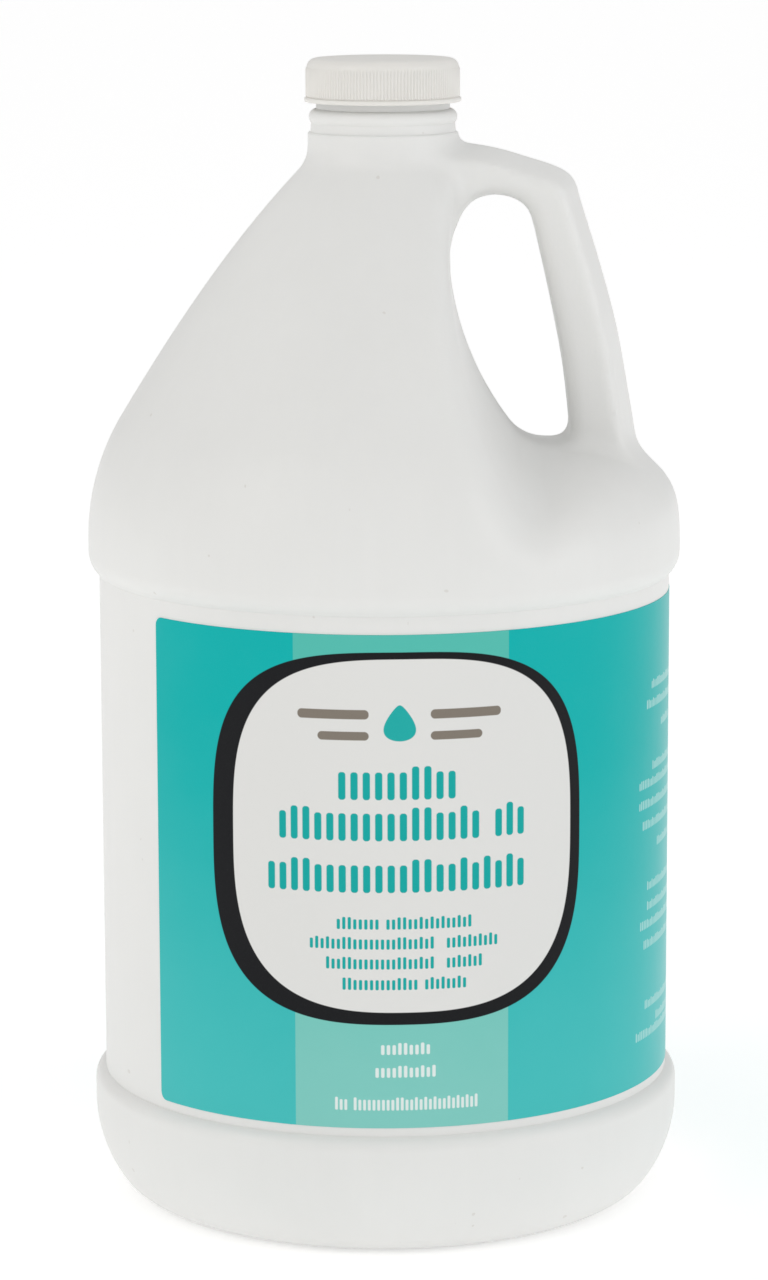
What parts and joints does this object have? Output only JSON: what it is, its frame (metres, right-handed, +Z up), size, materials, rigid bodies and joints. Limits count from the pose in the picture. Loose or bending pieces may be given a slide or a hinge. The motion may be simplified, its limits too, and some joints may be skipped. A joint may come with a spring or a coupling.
{
  "type": "shampoo bottle",
  "caption": "Gallon round jug of pet shampoo with a hollow side handle, ribbed screw cap with liner, recessed wrap label, and its liquid fill.",
  "frame": {"origin": "on the ground at the jug's vertical axis, in the middle of its standing ring", "axes": "+Z up along the jug's axis, +X towards the handle, the label's front panel faces -Y"},
  "size_m": [0.157, 0.157, 0.303],
  "materials": {
    "bottle_hdpe": "satin off-white blow-moulded polyethylene",
    "cap_pp": "satin warm white moulded polypropylene, finely ribbed",
    "liner_foam": "matt white closed-cell foam",
    "label_film": "satin printed film in teal and mint",
    "shampoo_liquid": "clear mint liquid, taken as a smooth solid"
  },
  "bodies": {
    "bottle": {"bottle": "bottle_hdpe", "label": "label_film", "shampoo": "shampoo_liquid"},
    "liner": {"cap_liner": "liner_foam"},
    "cap": {"screw_cap": "cap_pp"}
  },
  "joints": [
    {"name": "cap_rise", "type": "slide", "parent": "bottle", "child": "liner", "axis": [0, 0, 1], "range_m": [0, 0.0128]},
    {"name": "cap_turn", "type": "hinge", "parent": "liner", "child": "cap", "pos_m": [0, 0, 0.2917], "axis": [0, 0, 1], "range_deg": [0, 1080]}
  ],
  "couplings": [
    {"joint": "cap_rise", "follows": "cap_turn", "m_per_rad": 0.00067375}
  ]
}
